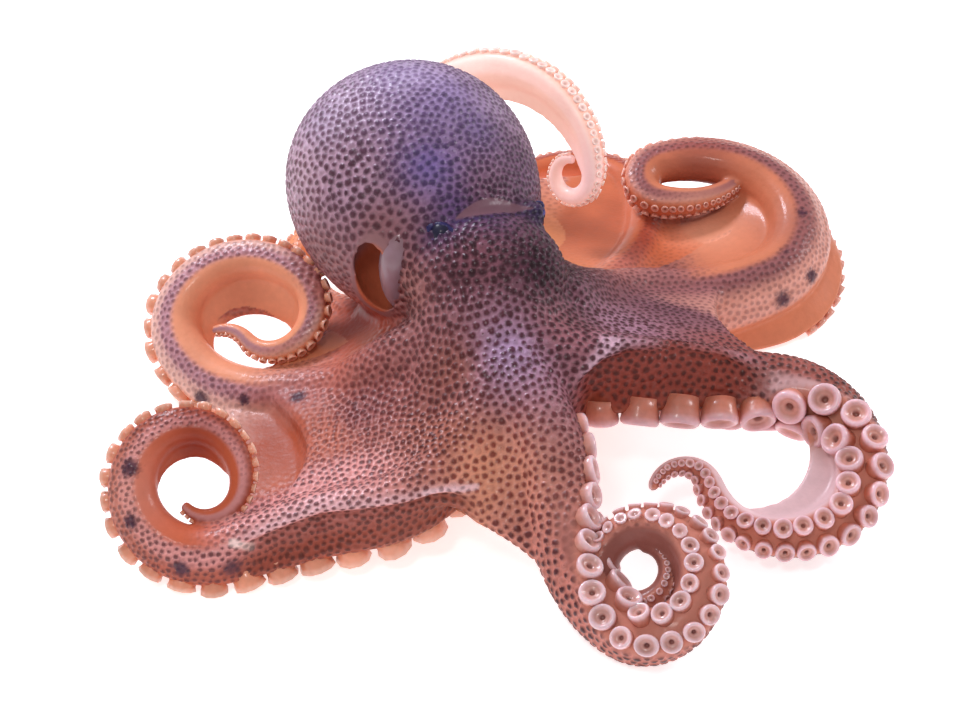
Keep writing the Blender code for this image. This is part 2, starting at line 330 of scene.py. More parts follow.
# ------------------------------------------------------------------ skin: body, webs and arms
# One continuous wet skin. The mantle bag, the head, the tent of web and the arms are laid
# down as overlapping shapes, melted into one closed surface, softened, and the slit where
# the mantle stands open beside the funnel is cut in.
MANTLE_AT = (-18.5, 42.0, 48.8)
MANTLE_HALF = (33.0, 37.0, 30.5)
MANTLE_YAW = 25.0
MANTLE_RISE = 24.0
MANTLE_EGG = 0.10
HEAD_AT = (-1.0, 11.5, 45.5)
HEAD_HALF = (21.0, 17.0, 16.5)
CROWN_AT = (2.0, -3.0, 24.0)
CROWN_HALF = (27.0, 26.0, 15.0)
NECK = (((-1.5, 9, 44), 18.0), ((0, 2, 33), 22.5), ((2, -5, 23), 27.0))
EYE_RADIUS = 3.5
EYES_AT = ((-11.4, 12.4, 57.7), (11.0, 23.6, 56.0))
EYES_OUT = ((-0.25, -0.72, 0.62), (0.35, -0.35, 0.85))
OPENING_AT = (-27.5, 15.5, 44.0)
OPENING_HALF = (6.2, 7.0, 11.5)
OPENING_LEAN = -12.0
SHOULDER_TOP = 46.0
SHOULDER_REACH = 30.0
SHOULDER_RADIUS = 11.0
WEB_BACK = 0.45
WEB_THICK = 4.2
# webs: (arm, from, to, drop) for each side, how far the free edge hangs back, rise to the head
WEBS = (
    (("front", 0, 56, 0), ("front_left", 0, 46, 0), 0.12, 10),
    (("front_left", 0, 80, 0), ("left", 0, 58, 0), 0.22, 10),
    (("front_left", 58, 84, 6), ("left", 42, 70, 5), 0.05, 0),
    (("left", 0, 66, 1), ("rear_left", 0, 60, 0), 0.26, 10),
    (("rear_left", 0, 40, 0), ("rear", 0, 44, 2), 0.30, 6),
    (("rear", 0, 84, 0), ("rear_right", 0, 112, 1), 0.05, 4),
    (("rear_right", 0, 100, 1), ("right", 0, 122, 2), 0.04, 8),
    (("right", 0, 70, 0), ("front_right", 0, 60, 0), 0.15, 10),
    (("front_right", 0, 20, 0), ("front", 0, 22, 0), 0.25, 10),
)
# flanges: thin skin that widens an arm into its curl (or out of it): arm, from, to, mm, drop
FLANGES = (
    ("left", 52, 150, 9.0, 8.0),
    ("front_left", 74, 156, 4.0, 5.0),
    ("front_right", 66, 138, 13.0, 1.0),
    ("right", 56, 122, -13.0, 10.0),
    ("rear", 110, 186, 7.0, 1.0),
)
SLIT_AT = (72.3, 86.0, 13.0)
SLIT_HALF = (2.4, 8.5, 8.0)
VOXEL = 0.55


def only(*objects):
    """Select these objects and nothing else; the first is the active one."""
    bpy.ops.object.select_all(action="DESELECT")
    for obj in objects:
        obj.select_set(True)
    bpy.context.view_layer.objects.active = objects[0]


def apply_all(obj):
    only(obj)
    for modifier in list(obj.modifiers):
        bpy.ops.object.modifier_apply(modifier=modifier.name)


def tube(name, points, radii, rounds=4):
    """A round tapering tube along a line."""
    curve = bpy.data.curves.new(name, "CURVE")
    curve.dimensions = "3D"
    curve.bevel_depth = 1.0
    curve.bevel_resolution = rounds
    curve.use_fill_caps = True
    spline = curve.splines.new("POLY")
    spline.points.add(len(points) - 1)
    for knot, p, r in zip(spline.points, points, radii):
        knot.co = (*p, 1.0)
        knot.radius = r
    obj = bpy.data.objects.new(name, curve)
    scene.collection.objects.link(obj)
    only(obj)
    bpy.ops.object.convert(target="MESH")
    return bpy.context.view_layer.objects.active


def ball(name, at, half, yaw=0.0, rise=0.0, egg=0.0, lean=0.0):
    """An egg: half sizes, centre, swung about Z, tipped up along its length."""
    bpy.ops.object.select_all(action="DESELECT")
    bpy.ops.mesh.primitive_uv_sphere_add(segments=64, ring_count=40, radius=1.0)
    obj = bpy.context.active_object
    obj.name = name
    for v in obj.data.vertices:
        v.co.x *= 1.0 + egg * v.co.y
        v.co.z *= 1.0 + egg * v.co.y
    obj.data.transform(
        Matrix.Translation(at)
        @ Matrix.Rotation(math.radians(yaw), 4, "Z")
        @ Matrix.Rotation(math.radians(rise), 4, "X")
        @ Matrix.Rotation(math.radians(lean), 4, "Y")
        @ Matrix.Diagonal((*half, 1.0))
    )
    return obj


def sheet(name, rail_one, rail_two, sag, rise, thick):
    """Skin stretched between two rails, hollow at its free edge, given its thickness."""
    rows, columns = 24, 12
    mesh = bmesh.new()
    grid = []
    for j in range(columns + 1):
        t = j / columns
        hollow = 1.0 - sag * 4 * t * (1 - t)
        line = []
        for i in range(rows + 1):
            s = i / rows * hollow
            p = rail_one(s).lerp(rail_two(s), t)
            p.z += rise * max(0.0, 1 - s / 0.6) ** 2
            line.append(mesh.verts.new(p))
        grid.append(line)
    for j in range(columns):
        for i in range(rows):
            mesh.faces.new((grid[j][i], grid[j + 1][i], grid[j + 1][i + 1], grid[j][i + 1]))
    data = bpy.data.meshes.new(name)
    mesh.to_mesh(data)
    mesh.free()
    obj = bpy.data.objects.new(name, data)
    scene.collection.objects.link(obj)
    body = obj.modifiers.new("thickness", "SOLIDIFY")
    body.thickness = thick
    body.offset = 0.0
    apply_all(obj)
    return obj


def join(parts, name):
    only(*parts)
    bpy.ops.object.join()
    obj = bpy.context.view_layer.objects.active
    obj.name = name
    return obj


def melt(obj, voxel, passes):
    """Melt overlapping shapes into one closed skin and soften it."""
    remesh = obj.modifiers.new("one skin", "REMESH")
    remesh.mode = "VOXEL"
    remesh.voxel_size = voxel
    soften = obj.modifiers.new("soften", "SMOOTH")
    soften.factor = 0.5
    soften.iterations = passes
    apply_all(obj)


def cut(obj, cutter):
    """Take the cutter's volume out of the object."""
    bite = obj.modifiers.new("cut", "BOOLEAN")
    bite.operation = "DIFFERENCE"
    bite.solver = "EXACT"
    bite.object = cutter
    apply_all(obj)
    bpy.data.objects.remove(cutter, do_unlink=True)


def web_rail(arm, start, end, drop):
    return lambda s: arms[arm].beside(start + (end - start) * s, WEB_BACK, 0.0, drop)


trunk = [
    ball("mantle", MANTLE_AT, MANTLE_HALF, MANTLE_YAW, MANTLE_RISE, MANTLE_EGG),
    ball("head", HEAD_AT, HEAD_HALF),
    ball("crown", CROWN_AT, CROWN_HALF),
    tube("neck", [p for p, r in NECK], [r for p, r in NECK]),
]
for centre in EYES_AT:
    trunk.append(ball("eye bump", centre, (EYE_RADIUS + 0.6,) * 3))
for arm in arms.values():
    ridge, radii = [], []
    for k in range(13):
        t = k / 12
        p = arm.at(SHOULDER_REACH * t)
        lift = max(0.0, SHOULDER_TOP - SHOULDER_RADIUS - p.z) * (1 - t) ** 2
        ridge.append(p + Vector((0, 0, lift)))
        radii.append(SHOULDER_RADIUS + (arm.radius[0] - SHOULDER_RADIUS) * t)
    trunk.append(tube("root", ridge, radii))
for one, two, sag, rise in WEBS:
    trunk.append(sheet("web", web_rail(*one), web_rail(*two), sag, rise, WEB_THICK))
trunk = join(trunk, "trunk")
melt(trunk, 1.2, 14)
cut(trunk, ball("opening", OPENING_AT, OPENING_HALF, lean=OPENING_LEAN))
cut(trunk, ball("slit", SLIT_AT, SLIT_HALF))

whole = [trunk]
for arm in arms.values():
    whole.append(tube(arm.name, arm.points, [r * 0.92 for r in arm.radius], 6))
    for side in (-1, 1):
        bed = []
        for p, r, oral, across in zip(arm.points, arm.radius, arm.oral, arm.across):
            bed.append(p + (oral * 0.42 + across * 0.44 * side) * r)
        whole.append(tube("sucker bed", bed[8:], [r * 0.5 for r in arm.radius[8:]]))
for name, start, end, width, drop in FLANGES:
    arm = arms[name]
    whole.append(sheet(
        "flange",
        lambda s: arm.at(start + (end - start) * s),
        lambda s: arm.beside(start + (end - start) * s, 0.0,
                             width * math.sin(math.pi * min(1.0, s * 0.94 + 0.06)) ** 0.5,
                             drop),
        0.0, 0.0, 4.6,
    ))
skin = join(whole, "skin")
melt(skin, VOXEL, 14)

# ------------------------------------------------------------------ skin: colours, laid on in mm
# Raw octopus skin: a pale pink-brown ground that turns orange where it is thin, with a dark
# spot of ink cells on every pebble. Each wash below tints the skin around its own place.
# washes: place, ground, ink, strength of the spots, spacing, share of the spacing a spot fills
WASHES = (
    ((-21, 49, 81), (162, 142, 172), (126, 100, 140), 0.9, 2.0, 0.32),
    ((-40, 42, 75), (170, 146, 168), (108, 72, 96), 0.9, 2.2, 0.33),
    ((-49, 33, 60), (180, 148, 162), (90, 42, 54), 0.9, 2.2, 0.33),
    ((-42, 20, 44), (142, 103, 106), (96, 40, 48), 0.8, 2.4, 0.30),
    ((-35, 22, 67), (172, 136, 156), (80, 42, 58), 1.0, 2.4, 0.38),
    ((-27, 13, 58), (130, 86, 92), (78, 30, 40), 0.9, 2.3, 0.34),
    ((-15, 23, 71), (138, 108, 144), (66, 40, 80), 0.9, 2.1, 0.36),
    ((-15, 36, 79), (138, 114, 150), (86, 58, 100), 0.9, 2.0, 0.34),
    ((8, 35, 63), (112, 78, 104), (64, 32, 56), 0.9, 1.9, 0.36),
    ((0, 49, 74), (144, 120, 144), (88, 58, 82), 0.9, 1.9, 0.34),
    ((-5, 75, 60), (158, 128, 144), (88, 48, 66), 0.9, 2.1, 0.33),
    ((-35, 75, 62), (164, 136, 156), (110, 78, 102), 0.9, 2.2, 0.33),
    ((-20, 55, 22), (196, 140, 122), (130, 60, 60), 0.5, 2.4, 0.30),
    ((0, 17, 61), (98, 62, 82), (54, 22, 44), 1.0, 1.6, 0.34),
    ((-20, 4, 46), (154, 100, 96), (84, 32, 32), 1.0, 2.4, 0.36),
    ((-5, 1, 58), (118, 68, 80), (56, 18, 28), 1.0, 2.3, 0.40),
    ((13, 4, 55), (64, 24, 42), (36, 10, 20), 1.0, 2.2, 0.38),
    ((-9, -19, 39), (142, 84, 76), (92, 32, 30), 1.0, 2.2, 0.35),
    # pink-brown skin on the ridge in front of the head, its lilac partly a painted reflection of the
    # cool light on the wet skin
    ((5, -19, 45), (162, 128, 156), (82, 34, 50), 1.0, 2.1, 0.34),
    ((20, -9, 44), (144, 90, 98), (72, 26, 36), 1.0, 2.1, 0.34),
    ((33, 4, 34), (156, 112, 130), (78, 30, 40), 1.0, 1.9, 0.34),
    ((14, 20, 42), (66, 30, 46), (38, 10, 22), 1.0, 2.1, 0.35),
    ((34, -17, 27), (122, 52, 38), (66, 16, 18), 0.8, 2.1, 0.28),
    ((52, -15, 22), (130, 62, 48), (72, 22, 20), 0.8, 2.0, 0.28),
    ((-32, -16, 24), (144, 86, 84), (104, 42, 44), 1.0, 2.0, 0.33),
    ((-40, -22, 20), (178, 102, 84), (116, 46, 42), 0.8, 1.8, 0.31),
    ((-56, -14, 12), (176, 80, 44), (130, 44, 30), 0.0, 1.8, 0.28),
    ((-54, -24, 5), (196, 100, 60), (190, 76, 52), 0.0, 2.0, 0.28),
    ((-2, -43, 27), (206, 138, 112), (136, 56, 42), 0.9, 2.0, 0.28),
    ((-14, -36, 31), (146, 80, 64), (86, 26, 24), 1.0, 2.0, 0.31),
    ((-44, 16, 12), (214, 122, 70), (170, 76, 52), 0.0, 2.0, 0.28),
    ((-34, 14, 18), (190, 86, 46), (170, 76, 52), 0.0, 2.0, 0.28),
    # painted shade: dark red on the web under the mantle, where the mantle shades it
    ((-28, 24, 20), (160, 42, 16), (120, 42, 26), 0.0, 2.0, 0.28),
    ((22, 52, 12), (222, 134, 82), (180, 84, 60), 0.0, 2.0, 0.28),
    ((12, 70, 10), (224, 140, 90), (180, 84, 60), 0.0, 2.0, 0.28),
    ((42, 56, 14), (188, 126, 118), (110, 52, 54), 0.55, 1.8, 0.28),
    ((56, 66, 14), (222, 142, 114), (130, 60, 54), 0.3, 1.8, 0.28),
    ((44, 26, 20), (102, 62, 76), (60, 22, 32), 0.9, 1.8, 0.31),
)
WASH_FALL = 3.2                       # how sharply one wash gives way to the next
UNDERSIDE = (204, 120, 84)
# tints on top, some of them painted shade, painted light or a painted reflection: place, reach,
# colour, how much of it
TINTS = (
    ((-88.0, -45.0, 22.0), 13.0, (220, 150, 134), 0.45),
    ((-14.6, 22.6, 71.5), 7.0, (84, 74, 150), 0.45),
    ((-8.5, 45.5, 79.1), 8.0, (112, 104, 172), 0.22),
    ((-2.2, 35.2, 73.7), 7.0, (88, 78, 140), 0.35),
    ((-9.0, 16.5, 63.5), 5.0, (70, 52, 120), 0.45),
    ((12.5, 22.0, 57.0), 5.2, (34, 24, 64), 0.92),
    ((-11.5, 11.6, 57.0), 5.6, (34, 26, 84), 0.90),
    ((0.5, 13.0, 60.5), 6.0, (70, 46, 84), 0.45),
    # painted reflection: lilac on the ridge in front of the head
    ((5.0, -18.0, 45.5), 5.0, (120, 104, 160), 0.10),
    ((-56.0, -8.0, 12.0), 10.0, (156, 62, 30), 0.85),
    ((-51.0, -21.0, 13.0), 8.0, (168, 72, 38), 0.80),
    ((-52.0, 12.0, 17.0), 8.0, (212, 132, 84), 0.50),
    # painted light: lightens the web between the rear-right and right arms, where the right arm's
    # coil shades it
    ((60.0, 74.0, 16.0), 10.0, (240, 170, 138), 0.70),
    # painted shade: dark red inside the loop of the front-left arm
    ((-71.0, -33.0, 28.0), 8.0, (128, 30, 12), 0.85),
    # painted shade: dark red on the web under the mantle
    ((-37.0, 24.0, 20.0), 9.0, (140, 32, 10), 0.80),
    ((78.0, -9.0, 30.0), 7.0, (150, 86, 78), 0.80),
    ((-65.4, 36.0, 24.0), 9.0, (170, 84, 56), 0.45),
    ((60.0, 93.0, 27.0), 12.0, (148, 72, 62), 0.75),
    ((27.0, 71.0, 36.0), 10.0, (240, 204, 212), 0.55),
    ((84.0, -22.0, 24.0), 7.0, (214, 158, 132), 0.45),
    ((85.0, 62.0, 26.0), 9.0, (150, 86, 80), 0.45),
)
# blotches: small dark bruises on the arms and the web
BLOTCHES = (
    ((-48.5, -3.9, 18.4), 2.2), ((-74.8, 5.3, 9.9), 2.6), ((-86.4, -41.6, 26.9), 2.5),
    ((-86.1, -51.3, 18.2), 2.0), ((-73.9, -59.5, 10.1), 2.3), ((-61.4, -60.0, 9.9), 2.5),
    ((-40.3, -55.3, 17.6), 1.6), ((-63.0, 1.5, 13.0), 1.6), ((80.0, 52.0, 26.0), 2.4),
    ((86.0, 66.0, 28.0), 2.0), ((80.0, 41.5, 15.0), 2.8), ((88.0, 50.0, 17.0), 2.2),
)
BLOTCH_INK = (54, 22, 46)
# patches with no spots, and patches that shine less: place, reach
PLAIN_PATCHES = (((-56.0, -8.0, 12.0), 11.0), ((-51.0, -21.0, 13.0), 9.0))
DULL_PATCHES = (((-50.0, -14.0, 14.0), 30.0), ((-60.0, -40.0, 20.0), 16.0))
# pale lines: a painted highlight along a web's free edge, and a tear: two ends, half width, colour,
# how much of it
LINES = (
    # painted highlight along the web's free edge beside the front-left arm
    ((-15.0, -50.0, 26.0), (-3.0, -46.3, 25.0), 0.8, (230, 190, 196), 0.7),
    ((-61.0, -56.5, 16.1), (-57.0, -57.9, 14.4), 1.1, (244, 214, 206), 0.85),
)
# folds of skin from which the suckers of the two front arms hang, and the hollow under each:
# where it runs from and to, height of the fold above the table by distance to the right,
# height and depth of the hollow, how far back it reaches, colours of the painted shade in the
# hollow and of the painted highlight along the fold's edge
FOLDS = (
    ((20, 26, 58, 72),
     ((19, 34), (23, 38), (28, 41), (34, 42), (46, 40.5), (58, 37.5), (68, 33.5), (84, 27)),
     17.0, 4.5, (-26.0, -7.0, -1.0), (132, 54, 40), (214, 178, 196)),
    ((-66, -52, -8, -2),
     ((-66, 14.5), (-56, 17.5), (-40, 22.4), (-25, 25), (-14, 26), (-8, 25.3), (-2, 24.6)),
     11.0, 2.6, (-80.0, -47.0, -43.0), (134, 62, 48), (222, 180, 186)),
)
# the smooth crescent of skin between the eyes: its two corners, which way it bulges, height
CRESCENT = ((-8.4, 13.5, 61.4), (10.5, 23.0, 57.5), (-0.2, 0.68, 0.70), 4.3)
CRESCENT_GROUND = (118, 80, 92)
CAVITY = (188, 98, 68)
RIM = (150, 106, 108)
CELL = 0.55                           # how far a spot takes the shape of its pebble
PEBBLE_HEIGHT = 0.58
TABLE_Z = 1.25                        # nothing hangs lower than the table


def linear(colour):
    """Display colour (0-255) to the linear values that shaders take."""
    c = np.asarray(colour, np.float64) / 255.0
    return np.where(c <= 0.04045, c / 12.92, ((c + 0.055) / 1.055) ** 2.4)


def smooth(low, high, x):
    t = np.clip((x - low) / (high - low), 0.0, 1.0)
    return t * t * (3 - 2 * t)


def blend(a, b, amount):
    return a + (b - a) * amount[:, None]


def read(mesh, what, name="vector", width=3):
    values = np.empty(len(what) * width, np.float32)
    what.foreach_get(name, values)
    return values.reshape(-1, width).astype(np.float64)


co = read(skin.data, skin.data.vertices, "co")
normal = read(skin.data, skin.data.vertex_normals)
count = len(co)
rng = np.random.default_rng(8)

# where each point of the skin lies on the nearest arm
names = list(arms)
stations = np.array([p for a in arms.values() for p in a.points])
owner = np.concatenate([np.full(len(a.points), k) for k, a in enumerate(arms.values())])
along_all = np.concatenate([np.arange(len(a.points)) * a.step for a in arms.values()])
radius_all = np.array([r for a in arms.values() for r in a.radius])
oral_all = np.array([v for a in arms.values() for v in a.oral])
outside_all = np.array([v for a in arms.values() for v in a.outside])
nearest = np.empty(count, np.int64)
for start in range(0, count, 20000):
    part = co[start:start + 20000]
    gap = np.linalg.norm(part[:, None, :] - stations[None, :, :], axis=2) - radius_all
    nearest[start:start + 20000] = gap.argmin(1)
offset = co - stations[nearest]
gone = np.linalg.norm(offset, axis=1)
unit = offset / np.maximum(gone, 1e-6)[:, None]
arm_of = owner[nearest]
along = along_all[nearest]
arm_radius = radius_all[nearest]
oral_side = (unit * oral_all[nearest]).sum(1)
out_side = (unit * outside_all[nearest]).sum(1)
curl_from = np.array([a.curl for a in arms.values()])[arm_of]
full_radius = np.array([s["radius"] for s in ARMS.values()])[arm_of]

# how far a point belongs to the mantle bag
turn = (Matrix.Rotation(math.radians(MANTLE_YAW), 3, "Z")
        @ Matrix.Rotation(math.radians(MANTLE_RISE), 3, "X"))
bag = (co - np.array(MANTLE_AT)) @ np.array(turn) / np.array(MANTLE_HALF)
on_mantle = smooth(1.25, 1.06, np.linalg.norm(bag, axis=1)) * smooth(14.0, 24.0, co[:, 2])

# washes over the body
weight = np.zeros((count, len(WASHES)))
for k, wash in enumerate(WASHES):
    weight[:, k] = (np.linalg.norm(co - np.array(wash[0]), axis=1) + 2.0) ** -WASH_FALL
weight /= weight.sum(1)[:, None]
ground = weight @ np.array([linear(w[1]) for w in WASHES])
ink = weight @ np.array([linear(w[2]) for w in WASHES])
strength = weight @ np.array([w[3] for w in WASHES])
space = weight @ np.array([w[4] for w in WASHES])
share = weight @ np.array([w[5] for w in WASHES])

# the arms' own colours, which take over from the washes along each arm
in_curl = smooth(curl_from - 8, curl_from + 12, along)
wide = 1.5 + 1.6 * in_curl
on_arm = smooth(22.0, 60.0, along) * smooth(wide + 0.9, wide, gone / arm_radius) * (1 - on_mantle)
specs = list(ARMS.values())
arm_ground = np.array([linear(s["skin"]) for s in specs])[arm_of]
arm_ink = np.array([linear(s["ink"]) for s in specs])[arm_of]
arm_inner = np.array([linear(s["inner"]) for s in specs])[arm_of]
arm_side = np.array([linear(s["side"]) for s in specs])[arm_of]
arm_under = np.array([linear(s.get("under", s["inner"])) for s in specs])[arm_of]
spot_spec = np.array([s["spot"] for s in specs])[arm_of]
inside_curl = in_curl * smooth(0.10, -0.25, out_side)
flank = smooth(0.35, 0.85, out_side)
between = smooth(0.45, 0.75, oral_side)
bare = np.maximum(inside_curl, between)
arm_inner = blend(arm_inner, arm_under, between)
slim = np.clip(arm_radius / full_radius, 0.0, 1.0)
arm_strength = spot_spec[:, 2] + (spot_spec[:, 3] - spot_spec[:, 2]) * flank
arm_strength *= (1 - bare) * smooth(0.25, 0.6, slim)
arm_ground = blend(arm_ground, arm_side, flank)
ground = blend(ground, blend(arm_ground, arm_inner, bare), on_arm)
ink = blend(ink, arm_ink, on_arm)
strength = strength * (1 - on_arm) + arm_strength * on_arm
space = space * (1 - on_arm) + spot_spec[:, 0] * (0.55 + 0.45 * slim) * on_arm
share = (share * (1 - on_arm) + spot_spec[:, 1] * on_arm) * 1.08
# painted glow: emission on the front-facing skin of the rear arm's outer half, standing in for light
# shining through it from behind
painted_glow = np.array([s.get("painted_glow", 0.0) for s in specs])[arm_of] * smooth(50.0, 90.0, along)
painted_glow *= smooth(0.35, -0.45, normal[:, 1])

# the unpigmented underside of the webs
under = smooth(-0.15, -0.55, normal[:, 2]) * (1 - on_mantle) * (1 - on_arm)
under *= smooth(34.0, 26.0, co[:, 2])
ground = blend(ground, linear(UNDERSIDE)[None, :], under)
strength *= 1 - under

for place, reach, colour, amount in TINTS:
    near = np.exp(-(np.linalg.norm(co - np.array(place), axis=1) / reach) ** 2) * amount
    ground = blend(ground, linear(colour)[None, :], near)
    ink = blend(ink, linear(colour)[None, :] * 0.5, near)
for place, reach in BLOTCHES:
    gap = np.linalg.norm(co - np.array(place), axis=1) + rng.normal(0, 0.25, count)
    near = smooth(1.4 * reach, 0.5 * reach, gap) * 0.9
    ground = blend(ground, linear(BLOTCH_INK)[None, :], near)
    ink = blend(ink, linear(BLOTCH_INK)[None, :], near)

for place, reach in PLAIN_PATCHES:
    strength *= 1 - np.exp(-(np.linalg.norm(co - np.array(place), axis=1) / reach) ** 2)
wet = np.ones(count)
for place, reach in DULL_PATCHES:
    wet *= 1 - 0.9 * np.exp(-(np.linalg.norm(co - np.array(place), axis=1) / reach) ** 2)

cavity = np.linalg.norm((co - np.array(OPENING_AT)) / np.array(OPENING_HALF), axis=1)
lip = smooth(1.32, 1.18, cavity) * smooth(-23.0, -26.0, co[:, 0])
cavity = smooth(1.10, 1.0, cavity)
ground = blend(ground, linear(RIM)[None, :], lip * 0.8)
ground = blend(ground, linear(CAVITY)[None, :], cavity)
strength *= (1 - cavity) * (1 - lip)

for one, two, half, colour, amount in LINES:
    one, two = np.array(one), np.array(two)
    t = np.clip((co - one) @ (two - one) / ((two - one) @ (two - one)), 0, 1)
    gap = np.linalg.norm(co - one - t[:, None] * (two - one), axis=1)
    near = smooth(1.5 * half, 0.6 * half, gap) * amount
    ground = blend(ground, linear(colour)[None, :], near)
    ink = blend(ink, linear(colour)[None, :] * 0.6, near)

dent = np.zeros(count)
for run, line, high, depth, (front, near, back), hollow_shade_paint, fold_highlight_paint in FOLDS:
    fold_x, fold_z = np.array(line, float).T
    deep = (np.interp(co[:, 0], fold_x, fold_z) - co[:, 2]) / high
    facing = smooth(run[0], run[1], co[:, 0]) * smooth(run[3], run[2], co[:, 0])
    facing *= smooth(back, near, co[:, 1]) * (co[:, 1] > front)
    facing *= smooth(0.35, 0.0, normal[:, 1])
    dent += depth * smooth(0.0, 0.22, deep) * smooth(1.1, 0.6, deep) * facing
    # painted shade fills the hollow, and a painted highlight (lit) runs along the fold's edge
    inside = facing * smooth(0.04, 0.16, deep) * smooth(1.35, 1.0, deep) * 0.8
    lit = facing * np.exp(-((deep + 0.02) / 0.09) ** 2) * 0.6
    ground = blend(ground, linear(hollow_shade_paint)[None, :], inside)
    ink = blend(ink, linear(hollow_shade_paint)[None, :] * 0.35, inside)
    ground = blend(ground, linear(fold_highlight_paint)[None, :], lit)

left, right, bulge, height = (np.array(v) for v in CRESCENT)
chord = right - left
t = (co - left) @ chord / (chord @ chord)
h = (co - left - t[:, None] * chord) @ (bulge / np.linalg.norm(bulge))
top = height * 4 * np.clip(t, 0, 1) * (1 - np.clip(t, 0, 1))
crescent = smooth(-0.3, 0.2, h) * smooth(0.3, -0.3, h - top) * (co[:, 2] > 52) * (t > 0) * (t < 1)
edge = np.exp(-((h + 0.7) / 0.6) ** 2) * (t > -0.05) * (t < 1.1) * (co[:, 2] > 52)
ground = blend(ground, linear((46, 32, 74))[None, :], edge * 0.8)
ground = blend(ground, linear(CRESCENT_GROUND)[None, :], crescent)
strength *= 1 - crescent

# ------------------------------------------------------------------ skin: pebbles and spots
# The pebbles are laid out at random but evenly, each with its own size of spot. The skin
# is sunk between them, so the wet light breaks up over it.
tree = KDTree(count)
for i, p in enumerate(co):
    tree.insert(p, i)
tree.balance()
covered = np.zeros(count, bool)
sites = []
for i in rng.permutation(count):
    if not covered[i]:
        sites.append(i)
        for _, j, _ in tree.find_range(co[i], space[i] * 0.82):
            covered[j] = True
middles = co[sites]


def site_tree():
    made = KDTree(len(middles))
    for i, p in enumerate(middles):
        made.insert(p, i)
    made.balance()
    return made


for _ in range(2):
    found = site_tree()
    mine = np.array([found.find(p)[1] for p in co])
    total = np.bincount(mine, minlength=len(middles)).astype(float)
    for axis in range(3):
        middles[:, axis] = np.where(
            total > 0,
            np.bincount(mine, co[:, axis], len(middles)) / np.maximum(total, 1),
            middles[:, axis],
        )
found = site_tree()
two = [found.find_n(p, 2) for p in co]
first = np.array([t[0][2] for t in two])
second = np.array([t[1][2] for t in two])
mine = np.array([t[0][1] for t in two])
size = rng.uniform(0.78, 1.22, len(middles))
size[rng.random(len(middles)) < 0.04] = 0.3
shade = rng.uniform(0.75, 1.12, len(middles))
wide = space * share * size[mine]
cell = CELL * np.clip(strength, 0.0, 1.0)
spot = (first * (1 - cell) + np.maximum(space - second + first, 0.0) / 2 * cell) / wide
spot = np.where(strength > 0.02, spot, 9.0)
ink = blend(ground, ink * shade[mine][:, None], np.clip(strength, 0.0, 1.0))
groove = 1 - smooth(0.0, 0.50, (second - first) / space)
dome = np.clip(1.0 - (2.0 * first / space) ** 2, 0.0, 1.0) * np.clip(strength, 0.0, 1.0)
sunk = PEBBLE_HEIGHT * (space / 2.2) * np.clip(strength, 0.04, 1) * groove
co = co - normal * sunk[:, None]
co[:, 1] += dent
co[:, 2] = np.maximum(co[:, 2], TABLE_Z)
skin.data.vertices.foreach_set("co", co.astype(np.float32).ravel())
skin.data.update()

final_normal = read(skin.data, skin.data.vertex_normals)


def store(mesh, name, kind, values):
    field = {"FLOAT": "value", "FLOAT_VECTOR": "vector", "FLOAT_COLOR": "color"}[kind]
    if kind == "FLOAT_COLOR":
        values = np.concatenate([values, np.ones((len(values), 1))], axis=1)
    mesh.attributes.new(name, kind, "POINT").data.foreach_set(
        field, np.ascontiguousarray(values, np.float32).ravel())


store(skin.data, "ground", "FLOAT_COLOR", ground)
store(skin.data, "ink", "FLOAT_COLOR", ink)
store(skin.data, "spot", "FLOAT", np.minimum(spot, 9.0))
store(skin.data, "net", "FLOAT", groove * np.clip(strength, 0, 1))
store(skin.data, "painted_glow", "FLOAT_COLOR", ground * painted_glow[:, None])
store(skin.data, "dome", "FLOAT", dome)
store(skin.data, "wet", "FLOAT", wet)
store(skin.data, "lay", "FLOAT_VECTOR", final_normal)


class Value:
    """A value or colour in a material; Python's operators add its Math nodes."""

    def __init__(self, tree_, socket):
        self.tree = tree_
        self.socket = socket

    def node(self, kind, settings=None, inputs=None, output=0):
        """Any other node: its type, settings, the values or links of its sockets."""
        made = self.tree.nodes.new(kind)
        for key, value in (settings or {}).items():
            setattr(made, key, value)
        for key, value in (inputs or {}).items():
            if isinstance(value, Value):
                self.tree.links.new(value.socket, made.inputs[key])
            else:
                made.inputs[key].default_value = value
        return Value(self.tree, made.outputs[output])

    def maths(self, operation, one, two):
        return self.node("ShaderNodeMath", {"operation": operation}, {0: one, 1: two})

    def __add__(self, other):
        return self.maths("ADD", self, other)

    def __radd__(self, other):
        return self.maths("ADD", other, self)

    def __sub__(self, other):
        return self.maths("SUBTRACT", self, other)

    def __rsub__(self, other):
        return self.maths("SUBTRACT", other, self)

    def __mul__(self, other):
        return self.maths("MULTIPLY", self, other)

    def __rmul__(self, other):
        return self.maths("MULTIPLY", other, self)

    def fade(self, low, high):
        """0 below one value, 1 above the other, eased between; they may be swapped."""
        return self.node("ShaderNodeMapRange", {"interpolation_type": "SMOOTHSTEP"},
                         {"Value": self, "From Min": low, "From Max": high})

    def mix(self, factor, other):
        return self.node("ShaderNodeMix", {"data_type": "RGBA"},
                         {"Factor": factor, 6: self, 7: other}, 2)

    def brighten(self, amount):
        """The colour times a value."""
        return self.node("ShaderNodeVectorMath", {"operation": "SCALE"},
                         {0: self, "Scale": amount})


def material(name):
    """A new material: itself, its shader and its object coordinates."""
    made = bpy.data.materials.new(name)
    made.use_nodes = True
    tree_ = made.node_tree
    shader = tree_.nodes["Principled BSDF"]
    place = Value(tree_, tree_.nodes.new("ShaderNodeTexCoord").outputs["Object"])
    return made, shader, place


def attribute(place, name, output):
    return place.node("ShaderNodeAttribute", {"attribute_name": name}, {}, output)


